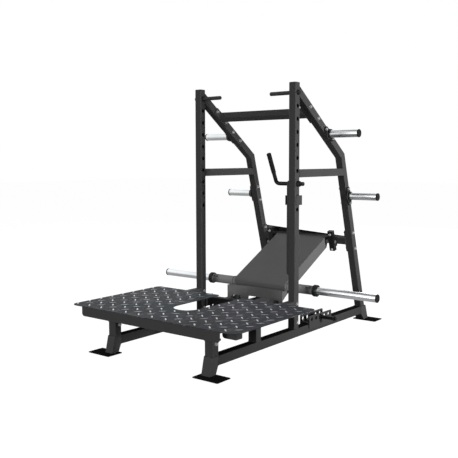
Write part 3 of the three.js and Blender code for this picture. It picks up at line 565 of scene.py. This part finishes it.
for word, _ in SIDES:
    for node in (f"storage_horn_upper_{word}", f"storage_horn_lower_{word}", f"lever_horn_{word}"):
        horn(node)
    for node in (f"horn_cap_upper_{word}", f"horn_cap_lower_{word}", f"lever_horn_cap_{word}"):
        horn_cap(node)
    collar(f"lever_collar_{word}")


# ---- The lever's cross tube and its grub screws ----

TUBE_EASE = 0.0008
SCREW_REACHES = (0.372, 0.400)
SCREW_LEAN = math.radians(38)

tube_middle, tube_radius, _, tube_end, _ = bar_of("lever_cross_tube")
# The tube's middle, between the panel's sides, takes the darker lever coat as painted shade under
# the panel's edge; its ends take a lighter coat, raised as painted light.
turned("lever_cross_tube_middle_painted_shade", [
    (TUBE_BORE, -panel_half), (tube_radius, -panel_half), (tube_radius, panel_half),
    (TUBE_BORE, panel_half), (TUBE_BORE, -panel_half),
], tube_middle, (1, 0, 0), LEVER_COAT, "lever", ("lever_cross_tube",))
for word, side in SIDES:
    turned(f"lever_cross_tube_lit_end_{word}", [
        (TUBE_BORE, panel_half), (tube_radius, panel_half), (tube_radius, tube_end - TUBE_EASE),
        (tube_radius - TUBE_EASE, tube_end), (TUBE_BORE, tube_end), (TUBE_BORE, panel_half),
    ], tube_middle, (side, 0, 0), TUBE_COAT_PAINTED_LIGHT, "lever")

bm = bmesh.new()
lean = Vector((0, -math.cos(SCREW_LEAN), math.sin(SCREW_LEAN)))
for _, side in SIDES:
    for reach in SCREW_REACHES:
        foot = tube_middle + Vector((side * reach, 0, 0)) + lean * (tube_radius - 0.0012)
        add_turned(bm, [(0.0032, 0.0), (0.0062, 0.0), (0.0062, 0.0016), (0.0056, 0.0022),
                        (0.0032, 0.0022), (0.0030, 0.0006), (0, 0.0006)], foot, lean, 24)
piece("lever_grub_screws", bm, BLACK, "lever")


# ---- Pegs and bumpers ----

# From a grab peg's outer end, through the upright, to the upright's outer face.
PEG_NUT_REACH = 0.0503
PEG_TIP = 0.007
BAND_PEG_TIP = 0.004
BUMPER_ROUND = 0.007


def pin_profile(radius, near, far, tip):
    return [(0, near), (radius, near), *fillet(radius - tip, far - tip, tip, 0, 90, 7), (0, far)]


for word, side in SIDES:
    centre, radius, near, far, _ = bar_of(f"grab_peg_{word}")
    flipped = [(r, far + near - d) for r, d in pin_profile(radius, near, far, PEG_TIP)]
    turned(f"grab_peg_{word}_bar", flipped, centre, (side, 0, 0), PEG, "frame",
           (f"grab_peg_{word}",))
    bm = bmesh.new()
    add_turned(bm, [(radius, far), (radius + 0.006, far), (radius + 0.006, far - 0.004),
                    (radius + 0.0045, far - 0.0055), (radius, far - 0.0055)],
               centre, (side, 0, 0), 48)
    hex_bolt(bm, at_x(side * (far + PEG_NUT_REACH), centre), (side, 0, 0),
             across=0.024, head=0.011, washer=0.017)
    piece(f"grab_peg_{word}_fastening", bm, BLACK, "frame")

    centre, radius, near, far, _ = bar_of(f"band_peg_{word}", sides=14)
    turned(f"band_peg_{word}_bar", pin_profile(radius, near, far, BAND_PEG_TIP),
           centre, (side, 0, 0), BLACK, "frame", (f"band_peg_{word}",))
    plate_face = outer_x(f"band_bracket_{word}")
    bm = bmesh.new()
    for start, end in ((plate_face, plate_face + 0.006), (far - 0.016, far - 0.012)):
        add_turned(bm, [(radius, start), (radius + 0.0052, start), (radius + 0.006, start + 0.0008),
                        (radius + 0.006, end - 0.001), (radius + 0.005, end), (radius, end)],
                   centre, (side, 0, 0), 48)
    piece(f"band_peg_{word}_rings", bm, BLACK, "frame")

    low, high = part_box(f"bumper_{word}")
    radius, tall = (high.x - low.x) / 2, high.z - low.z
    foot = Vector(((low.x + high.x) / 2, (low.y + high.y) / 2, low.z))
    turned(f"bumper_{word}_buffer", [
        (0, 0), (radius - 0.002, 0), (radius, 0.002), (radius, tall * 0.45),
        (radius - 0.0016, tall * 0.5), (radius, tall * 0.55),
        *fillet(radius - BUMPER_ROUND, tall - BUMPER_ROUND, BUMPER_ROUND, 0, 90, 7),
        (0.006, tall), (0.005, tall - 0.001), (0, tall - 0.001),
    ], foot, (0, 0, 1), BUFFER, "frame", (f"bumper_{word}",))


# ---- Catch: bent bar with a washer and a nut, and its grip ----

BAR_RADIUS, BAR_END, BAR_BEND_X, BAR_BEND = 0.0125, 0.452, 0.250, 0.024
BAR_TIP = Vector((0, -0.088, 0.185))
BAR_ROUND = 0.005
BAR_SIDES, BEND_STEPS = 40, 12
GRIP_LENGTH, GRIP_COVER, GRIP_RADIUS, GRIP_BORE = 0.132, 0.004, 0.0145, 0.0128
GRIP_ROUND = 0.005
GROOVES, GROOVE_START, GROOVE_PITCH, GROOVE_DEPTH = 11, 0.020, 0.0085, 0.0009


def swept(bm, path, radius):
    """A round bar along a path of points, closed at both ends."""
    rings = []
    side_way = (path[1] - path[0]).orthogonal().normalized()
    for index, point in enumerate(path):
        along = (path[min(index + 1, len(path) - 1)] - path[max(index - 1, 0)]).normalized()
        side_way = (side_way - along * side_way.dot(along)).normalized()
        rings.append(ring_at(bm, point, side_way, along.cross(side_way), radius, BAR_SIDES))
    for low, high in zip(rings, rings[1:]):
        join_rings(bm, low, high)
    bm.faces.new(rings[0])
    bm.faces.new(rings[-1])


grip_way = BAR_TIP.normalized()
bend_point = at_x(BAR_BEND_X, catch_axis)
bend_in = bend_point + Vector((BAR_BEND, 0, 0))
bend_out = bend_point + grip_way * BAR_BEND
tip = bend_point + BAR_TIP
path = [at_x(BAR_END - BAR_ROUND, catch_axis)]
for step in range(BEND_STEPS + 1):
    t = step / BEND_STEPS
    path.append((1 - t) ** 2 * bend_in + 2 * t * (1 - t) * bend_point + t * t * bend_out)
path.append(tip - grip_way * 0.001)
bm = bmesh.new()
swept(bm, path, BAR_RADIUS)
add_turned(bm, [(0.0120, 0.0003), (0.0172, 0.0003), (0.018, 0.0011), (0.018, 0.0075),
                (0.0172, 0.0083), (0.0120, 0.0083)],
           at_x(upright_high.x, catch_axis), (1, 0, 0), 48)
piece("catch_handle_bar", bm, BLACK, "catch", ("catch_handle",))

bm = bmesh.new()
add_turned(bm, [
    (BAR_RADIUS, BAR_END - 0.0051),
    *fillet(BAR_RADIUS - BAR_ROUND, BAR_END - BAR_ROUND, BAR_ROUND, 0, 90), (0, BAR_END),
], at_x(0, catch_axis), (1, 0, 0), 40)
hex_bolt(bm, at_x(upright_high.x + 0.008, catch_axis), (1, 0, 0),
         across=0.032, head=0.012, washer=0.0)
piece("catch_handle_nut", bm, BLACK, "catch")

grooves = []
for index in range(GROOVES):
    place = GROOVE_START + index * GROOVE_PITCH
    floor_radius = GRIP_RADIUS - GROOVE_DEPTH
    grooves += [(GRIP_RADIUS, place), (floor_radius, place + 0.0012),
                (floor_radius, place + 0.0024), (GRIP_RADIUS, place + 0.0036)]
turned("catch_grip_sleeve", [
    (GRIP_BORE, 0), (GRIP_RADIUS, 0), (GRIP_RADIUS, 0.004), (GRIP_RADIUS - 0.0006, 0.006),
    *grooves, *fillet(GRIP_RADIUS - GRIP_ROUND, GRIP_LENGTH - GRIP_ROUND, GRIP_ROUND, 0, 90),
    (0, GRIP_LENGTH),
], tip - grip_way * (GRIP_LENGTH - GRIP_COVER), grip_way, RUBBER, "catch",
    ("catch_grip",), 64)


# ---- Tread plate: the ground sheet and its raised lugs ----

LUG_LENGTH, LUG_WIDTH, LUG_HEIGHT = 0.060, 0.0125, 0.0020
LUG_SINK = 0.0001
LUG_ROOM = 0.018
LUG_TURN = math.radians(45.0)
LUG_PITCH = Vector((0.1056, 0.0951))
LUG_START = Vector((0.012, plate_low.y + 0.0449))
SLOT_HALF = 0.090
SLOT_MIDDLE_Y = plate_low.y + 0.371


def on_plate(x, y):
    """Whether a lug at this place keeps clear of the plate's edges and of its slot."""
    inside = (plate_low.x + LUG_ROOM < x < plate_high.x - LUG_ROOM
              and plate_low.y + LUG_ROOM < y < plate_high.y - LUG_ROOM)
    from_slot = abs(x) if y > SLOT_MIDDLE_Y else math.hypot(x, y - SLOT_MIDDLE_Y)
    return inside and from_slot > SLOT_HALF + LUG_ROOM


def lug(bm, x, y, turn):
    """A spindle-shaped lug with a rounded crown, if there is room for it."""
    if not on_plate(x, y):
        return
    along, across = 12, 6
    rows = []
    for i in range(along + 1):
        t = -1 + 2 * i / along
        width = LUG_WIDTH / 2 * max(0.0, 1 - t * t) ** 0.75
        row = []
        for j in range(across + 1):
            u = -1 + 2 * j / across
            rise = LUG_HEIGHT * max(0.0, 1 - t ** 4) * max(0.0, 1 - u * u) ** 0.6
            px, py = t * LUG_LENGTH / 2, u * width
            row.append(bm.verts.new((
                x + px * math.cos(turn) - py * math.sin(turn),
                y + px * math.sin(turn) + py * math.cos(turn),
                DECK_TOP - LUG_SINK + rise)))
        rows.append(row)
    for low, high in zip(rows, rows[1:]):
        for j in range(across):
            bm.faces.new((low[j], high[j], high[j + 1], low[j + 1]))


eased("platform_plate", TREAD, 0.0008)
bm = bmesh.new()
for column in range(-8, 9):
    for row in range(-1, 10):
        x = LUG_START.x + column * LUG_PITCH.x
        y = LUG_START.y + row * LUG_PITCH.y
        lug(bm, x, y, LUG_TURN - math.pi / 2)
        lug(bm, x + LUG_PITCH.x / 2, y + LUG_PITCH.y / 2, LUG_TURN)
piece("platform_tread_lugs", bm, LUGS, "frame", crease=60.0)


# ---- Coated steel ----

# The starts of the names of the nodes that are redrawn above.
REDRAWN = ("storage_horn", "horn_cap", "lever_horn", "lever_collar", "grab_peg", "bumper",
           "band_peg", "catch_handle", "catch_grip", "platform_plate", "lever_cross_tube")
PLUG_RISE = 0.0035

for node in sorted(frame["nodes"]):
    if node.startswith(REDRAWN):
        continue
    if node.startswith("bearing"):
        eased(node, BLACK, 0.003)
    elif node.startswith("horn_mount"):
        eased(node, BLACK)
    elif node.startswith("base_rail"):
        eased(node, RAIL_COAT_SHADED)
    elif "foot" in node:
        eased(node, FOOT_COAT_SHADED)
    elif body_of(node) == "lever":
        eased(node, LEVER_COAT)
    else:
        made = eased(node, FRAME_COAT)
        if node.startswith("upright"):
            # The tube ends lower by the rise of its plug, so the top stays where it is.
            for vertex in made.data.vertices:
                if vertex.co.z > upright_high.z - 0.0001:
                    vertex.co.z -= PLUG_RISE


# ---- Domed plugs in the tops of the uprights ----

PLUG_HALF, PLUG_CORNER, PLUG_LAYERS = 0.0247, 0.006, 6


def cushion_plug(bm, centre):
    """A square plug with rounded corners and a low dome."""
    straight = PLUG_HALF - PLUG_CORNER
    outline = []
    for quarter, (sx, sy) in enumerate(((1, 1), (-1, 1), (-1, -1), (1, -1))):
        for step in range(6):
            angle = math.radians(90 * quarter + 18 * step)
            outline.append(Vector((sx * straight + PLUG_CORNER * math.cos(angle),
                                   sy * straight + PLUG_CORNER * math.sin(angle), 0)))
    layers = [[centre + p for p in outline]]
    for layer in range(1, PLUG_LAYERS + 1):
        share = layer / PLUG_LAYERS
        inward = 1 - 0.94 * share ** 2.2
        lift = PLUG_RISE * (1 - (1 - share) ** 2.4)
        layers.append([centre + Vector((p.x * inward, p.y * inward, lift)) for p in outline])
    rows = [[bm.verts.new(p) for p in layer] for layer in layers]
    for low, high in zip(rows, rows[1:]):
        join_rings(bm, low, high)
    bm.faces.new(rows[-1])


bm = bmesh.new()
for word, _ in SIDES:
    low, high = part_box(f"upright_{word}")
    cushion_plug(bm, Vector(((low.x + high.x) / 2, (low.y + high.y) / 2, high.z - PLUG_RISE)))
piece("upright_plugs", bm, PLASTIC, "frame", crease=50.0)


# ---- Bolts ----

# The thickness of a bolted plate with the gap under it.
PLATE_AND_GAP = 0.0083
STUD = 0.006
UPRIGHT_BOLT_HEIGHTS = (0.262, 0.145)
HORN_BOLT_REACH = 0.052

# From the front of a front post's box to the middle of its tube.
POST_MIDDLE = 0.027

# The bolts of the front posts: x, distance behind the post's front, height, and 1 where
# the head faces outwards.
POST_BOLTS = ((0.410, POST_MIDDLE, 0.176, 1), (0.350, 0.036, 0.173, -1))

# From the upper and the lower end of a bearing block to its bolts.
BEARING_INSETS = (0.024, 0.012)

upright_y = (upright_low.y + upright_high.y) / 2
bolts("upright_bolts", [
    (Vector((face, upright_y, height)), (1, 0, 0))
    for face in (upright_high.x, -upright_low.x) for height in UPRIGHT_BOLT_HEIGHTS])

outer, inner = [], []
for node, way, reach in (("top_cross_tube", BRACE_WAY, 0.060),
                         ("pivot_cross_tube", POST_WAY, 0.059)):
    for _, side in SIDES:
        for step in (-1, 1):
            place = node_middle(node) + way * (step * reach)
            outer.append((at_x(side * upright_high.x, place), (side, 0, 0)))
            inner.append((at_x(side * (upright_low.x - PLATE_AND_GAP), place), (-side, 0, 0)))
bolts("cross_tube_bolts", outer)
bolts("cross_tube_nuts", inner, stud=STUD)

outer, inner = [], []
for level, way in (("upper", BRACE_WAY), ("lower", POST_WAY)):
    for word, side in SIDES:
        for step in (-1, 1):
            place = node_middle(f"horn_mount_{level}_{word}") + way * (step * HORN_BOLT_REACH)
            outer.append((at_x(side * (upright_high.x + PLATE_AND_GAP), place), (side, 0, 0)))
            inner.append((at_x(side * upright_low.x, place), (-side, 0, 0)))
bolts("horn_mount_bolts", outer, across=0.015, head=0.007, washer=0.0095)
bolts("horn_mount_nuts", inner, stud=STUD)

post_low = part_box("front_post_right")[0]
bolts("post_bolts", [
    (Vector((side * x, post_low.y + back, height)), (side * way, 0, 0))
    for x, back, height, way in POST_BOLTS for _, side in SIDES])

clamp = []
for word, _ in SIDES:
    block = f"bearing_block_{word}"
    corners = [vertex.co for vertex in frame["nodes"][block].data.vertices]
    face = max(corner.dot(POST_FRONT) for corner in corners)
    reaches = [corner.dot(POST_WAY) for corner in corners]
    for reach in (min(reaches) + BEARING_INSETS[0], max(reaches) - BEARING_INSETS[1]):
        place = POST_WAY * reach + POST_FRONT * face
        clamp.append((at_x(node_middle(block).x, place), POST_FRONT))
bolts("bearing_bolts", clamp, across=0.014, head=0.006, washer=0.0085)


# ---- Bearings: inner rings ----

bm = bmesh.new()
for word, side in SIDES:
    face = outer_x(f"bearing_block_{word}")
    add_turned(bm, [(0.0127, face - 0.001), (0.0127, face + 0.0014), (0.0165, face + 0.0014),
                    (0.0170, face + 0.0009), (0.0170, face + 0.0002), (0.0245, face + 0.0002),
                    (0.0250, face - 0.001)], at_x(0, pivot_place), (side, 0, 0), 64)
piece("bearing_rings", bm, BLACK, "frame")


# ---- Weld beads ----

BEAD_RADIUS, BEAD_SIDES, BEAD_STEP = 0.0024, 6, 0.0016
BEAD_RIPPLE, BEAD_SWELL = 0.0046, 0.16
BEAD_LIFT, TUBE_BEAD_LIFT = 0.0002, 0.0003
TUBE_HALF, TUBE_CORNER, RAIL_HALF = 0.025, 0.005, 0.030
HUB_RADIUS = 0.032
LEG_FOOT_DEPTH = 0.053


def bead(bm, path):
    """A weld bead along a closed path: a low round rope that swells once per drop."""
    length = 0.0
    rings = []
    for index, point in enumerate(path):
        after = path[(index + 1) % len(path)]
        along = (after - path[index - 1]).normalized()
        side_way = along.orthogonal().normalized()
        swell = BEAD_RADIUS * (1 + BEAD_SWELL * math.sin(2 * math.pi * length / BEAD_RIPPLE))
        rings.append(ring_at(bm, point, side_way, along.cross(side_way), swell, BEAD_SIDES))
        length += (after - point).length
    for low, high in zip(rings, rings[1:] + rings[:1]):
        shift = min(range(BEAD_SIDES), key=lambda k: (high[k].co - low[0].co).length)
        join_rings(bm, low, high, shift)


def closed_path(corners):
    """Points along the closed line through the corners, a small step apart."""
    points = []
    for a, b in zip(corners, corners[1:] + corners[:1]):
        parts = max(1, round((b - a).length / BEAD_STEP))
        points += [a.lerp(b, k / parts) for k in range(parts)]
    return points


def bead_square(bm, centre, first, second):
    """A bead around a rounded square whose half-widths are given as vectors."""
    points = []
    a, b = first.normalized(), second.normalized()
    for quarter, (sa, sb) in enumerate(((1, 1), (-1, 1), (-1, -1), (1, -1))):
        middle = centre + sa * (first - a * TUBE_CORNER) + sb * (second - b * TUBE_CORNER)
        for step in range(4):
            angle = math.radians(90 * quarter + 30 * step)
            points.append(middle + TUBE_CORNER * (math.cos(angle) * a + math.sin(angle) * b))
    bead(bm, closed_path(points))


def bead_round(bm, centre, radius, side):
    """A bead around a round tube that points to one side."""
    turn = Vector((side, 0, 0)).to_track_quat("Z", "Y").to_matrix()
    steps = max(24, round(2 * math.pi * radius / BEAD_STEP))
    angles = [2 * math.pi * k / steps for k in range(steps)]
    bead(bm, [centre + turn @ Vector((radius * math.cos(a), radius * math.sin(a), 0))
              for a in angles])


bm = bmesh.new()
for node, way in (("top_cross_tube", BRACE_WAY), ("pivot_cross_tube", POST_WAY)):
    front = Vector((0, way.z, -way.y))
    for _, side in SIDES:
        face = upright_low.x - PLATE_AND_GAP - TUBE_BEAD_LIFT
        centre = at_x(side * face, node_middle(node))
        bead_square(bm, centre, way * TUBE_HALF, front * TUBE_HALF)
for level in ("upper", "lower"):
    for word, side in SIDES:
        middle = node_middle(f"horn_mount_{level}_{word}")
        face = upright_high.x + PLATE_AND_GAP + BEAD_LIFT
        bead_round(bm, at_x(side * face, middle), HUB_RADIUS, side)
half_x, half_y, half_z = (Vector((TUBE_HALF, 0, 0)), Vector((0, TUBE_HALF, 0)),
                          Vector((0, 0, TUBE_HALF)))
rail_half_x = Vector((RAIL_HALF, 0, 0))
for word, _ in SIDES:
    rail_low, rail_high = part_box(f"base_rail_{word}")
    x = (rail_low.x + rail_high.x) / 2
    top = rail_high.z + BEAD_LIFT
    bead_square(bm, Vector((x, node_middle(f"upright_{word}").y, top)), half_x, half_y)
    for y in (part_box(f"front_post_{word}")[0].y + POST_MIDDLE,
              node_middle(f"mid_post_{word}").y):
        bead_square(bm, Vector((x, y, top)), rail_half_x, half_y)
    rear_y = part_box(f"rear_leg_{word}")[1].y
    bead(bm, closed_path([
        Vector((x - TUBE_HALF, rear_y, top)), Vector((x + TUBE_HALF, rear_y, top)),
        Vector((x + TUBE_HALF, rear_y - LEG_FOOT_DEPTH, top)),
        Vector((x - TUBE_HALF, rear_y - LEG_FOOT_DEPTH, top))]))
    for end in (rail_low.y, rail_high.y):
        bead_square(bm, Vector((x, end, (rail_low.z + rail_high.z) / 2)), rail_half_x,
                    Vector((0, 0, (rail_high.z - rail_low.z) / 2)))
    tie_low, tie_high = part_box(f"side_tie_{word}")
    bead_square(bm, Vector((x, tie_low.y, (tie_low.z + tie_high.z) / 2)), half_x, half_z)
piece("frame_weld_beads", bm, FRAME_COAT, "frame", crease=60.0)

bm = bmesh.new()
for _, side in SIDES:
    for x in (panel_half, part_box("lever_skirt")[1].x):
        bead_round(bm, at_x(side * x, tube_middle), tube_radius, side)
piece("lever_weld_beads", bm, LEVER_COAT, "lever", crease=60.0)


# ---- Floor and studio ----

FLOOR_HALF = 30.0
WHITE = (1, 1, 1, 1)
SHADOW_LIGHT = 0.036


def floor_material(name, albedo, camera_glow, mirrored_glow):
    """A pale floor; only the camera and mirror-like surfaces see its glow, so shadows stay."""
    s = new_surface(name)
    away = s.node("ShaderNodeVectorMath", {"operation": "LENGTH"}, {0: s.place}, "Value")
    far_share = away.between(2.5, 6.0)
    mirrored = s.is_ray("Glossy") * (mirrored_glow + (1.0 - mirrored_glow) * far_share)
    diffuse = s.node("ShaderNodeBsdfDiffuse", {}, {"Color": (albedo, albedo, albedo, 1)})
    glow = s.node("ShaderNodeEmission", {}, {
        "Color": WHITE, "Strength": camera_glow * s.is_ray("Camera") + mirrored})
    material = s.output(s.node("ShaderNodeAddShader", {}, {0: diffuse, 1: glow}))
    material.cycles.emission_sampling = "NONE"
    return material


def studio_world(name):
    """The studio around the machine: white to the camera, banded to glossy surfaces."""
    s = Surface(bpy.data.worlds.new(name), "Generated")
    camera_ray, glossy_ray = s.is_ray("Camera"), s.is_ray("Glossy")
    height = s.along(2)
    band = height.between(-0.02, 0.08) * (1.0 - height.between(0.74, 0.90))
    ceiling = band * (1.0 - s.along(0).between(-0.1, 0.5))
    unseen = glossy_ray * (0.20 + 1.1 * ceiling) + (1.0 - glossy_ray) * SHADOW_LIGHT
    level = camera_ray + (1.0 - camera_ray) * unseen
    shade = s.node("ShaderNodeBackground", {}, {"Color": WHITE, "Strength": level}, "Background")
    world = s.output(shade, "ShaderNodeOutputWorld")
    world.cycles.sampling_method = "NONE"
    return world


bm = bmesh.new()
bmesh.ops.create_grid(bm, x_segments=1, y_segments=1, size=FLOOR_HALF)
floor = bpy.data.objects.new("floor", mesh_of(bm, "floor"))
scene.collection.objects.link(floor)
floor.data.materials.append(floor_material("pale_floor", 0.22, 0.98, 0.38))
scene.world = studio_world("studio")


# ---- Light and camera ----

LENS, SHIFT_X, SHIFT_Y = 55.954, 0.0098, -0.0190
CAMERA_PLACE = (2.78819, -3.77712, 1.16824)
CAMERA_WAY = Vector((-0.61766, 0.78186, -0.08475))
CAMERA_ROLL = math.radians(-0.17)


def lamp(name, place, aim, size, power, beam=180):
    """A softbox: a lit rectangle whose light fades out towards its beam's edge, in degrees."""
    light = bpy.data.lights.new(name, "AREA")
    light.spread = math.radians(beam)
    light.shape = "RECTANGLE"
    light.size, light.size_y = size
    light.energy = power
    made = bpy.data.objects.new(name, light)
    scene.collection.objects.link(made)
    made.location = place
    made.rotation_euler = (Vector(aim) - Vector(place)).to_track_quat("-Z", "Y").to_euler()


lamp("side_softbox", (6.4, -0.1, 1.5), (0.0, 0.5, 1.0), (0.7, 1.8), 25, 44)
lamp("front_softbox", (0.3, -7.5, 2.0), (0.0, 0.0, 0.7), (2.6, 1.8), 165)
lamp("camera_side_softbox", (3.4, -6.4, 1.5), (0.0, 0.0, 0.6), (2.4, 1.0), 22)
lamp("back_softbox", (-1.6, 7.6, 2.0), (0.0, 0.4, 0.8), (2.0, 1.4), 110)
lamp("far_side_softbox", (-6.4, 0.6, 1.6), (0.0, 0.5, 0.9), (0.7, 1.8), 16, 50)
lamp("top_softbox", (0.3, 0.0, 4.6), (0.0, 0.0, 0.0), (3.0, 3.0), 3)

lens = bpy.data.cameras.new("camera")
lens.sensor_width = 36.0
lens.lens = LENS
lens.shift_x, lens.shift_y = SHIFT_X, SHIFT_Y
lens.clip_end = 100.0
camera = bpy.data.objects.new("camera", lens)
scene.collection.objects.link(camera)
forward = CAMERA_WAY.normalized()
level_right = forward.cross(Vector((0, 0, 1))).normalized()
level_up = level_right.cross(forward)
right = math.cos(CAMERA_ROLL) * level_right + math.sin(CAMERA_ROLL) * level_up
up = math.cos(CAMERA_ROLL) * level_up - math.sin(CAMERA_ROLL) * level_right
turn = Matrix((right, up, -forward)).transposed().to_4x4()
camera.matrix_world = Matrix.Translation(CAMERA_PLACE) @ turn
scene.camera = camera
scene.view_settings.view_transform = "Standard"
